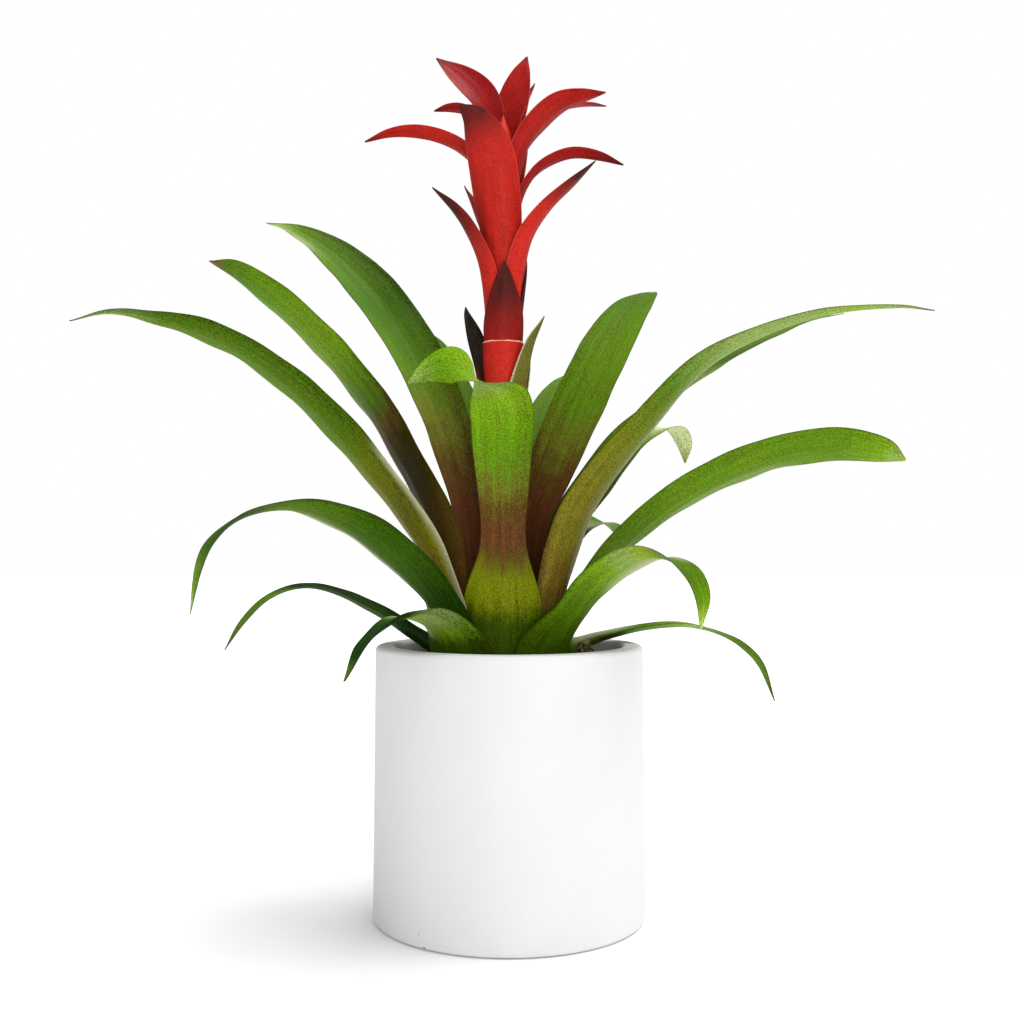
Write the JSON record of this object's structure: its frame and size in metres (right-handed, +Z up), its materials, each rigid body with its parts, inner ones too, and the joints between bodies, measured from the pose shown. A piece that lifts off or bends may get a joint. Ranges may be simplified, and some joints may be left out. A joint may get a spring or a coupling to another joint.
{
  "type": "potted guzmania",
  "caption": "Bromeliad in flower: a rosette of arching strap leaves round an upright head of red bracts, standing in a straight white cylindrical pot.",
  "frame": {"origin": "centre of the pot's flat foot, where it stands on the table", "axes": "+Z up along the pot's axis, +X to the right and +Y away from the viewer as the plant is seen from the front"},
  "size_m": [0.4456, 0.296, 0.4913],
  "materials": {
    "pot_white": "smooth matt white, unglazed look",
    "mix_brown": "rough dark potting mix of peat and bark",
    "stem_green": "living plant tissue, matt",
    "leaf_green": "living leaf, waxy and half glossy, green with a maroon flush at the foot",
    "stalk_olive": "living plant tissue, olive to near black, half glossy",
    "bract_red": "living bract, waxy red with maroon-black tips"
  },
  "bodies": {
    "root": {"pot": "pot_white", "potting_mix": "mix_brown", "short_stem": "stem_green", "leaf_front_left_low": "leaf_green", "leaf_right_low": "leaf_green", "leaf_left_low": "leaf_green", "leaf_back_low": "leaf_green", "leaf_front_right": "leaf_green", "leaf_left_arching": "leaf_green", "leaf_right_long": "leaf_green", "leaf_back_right_low": "leaf_green", "leaf_front_upright": "leaf_green", "leaf_left_long": "leaf_green", "leaf_back_right_short": "leaf_green", "leaf_right_pale": "leaf_green", "leaf_right_behind": "leaf_green", "leaf_left_upper": "leaf_green", "leaf_right_upper": "leaf_green", "leaf_back_upright": "leaf_green", "leaf_left_tall": "leaf_green", "leaf_right_tall": "leaf_green", "leaf_back_left": "leaf_green", "leaf_back_right": "leaf_green", "flower_stalk": "stalk_olive", "flower_head": "bract_red"}
  },
  "joints": []
}
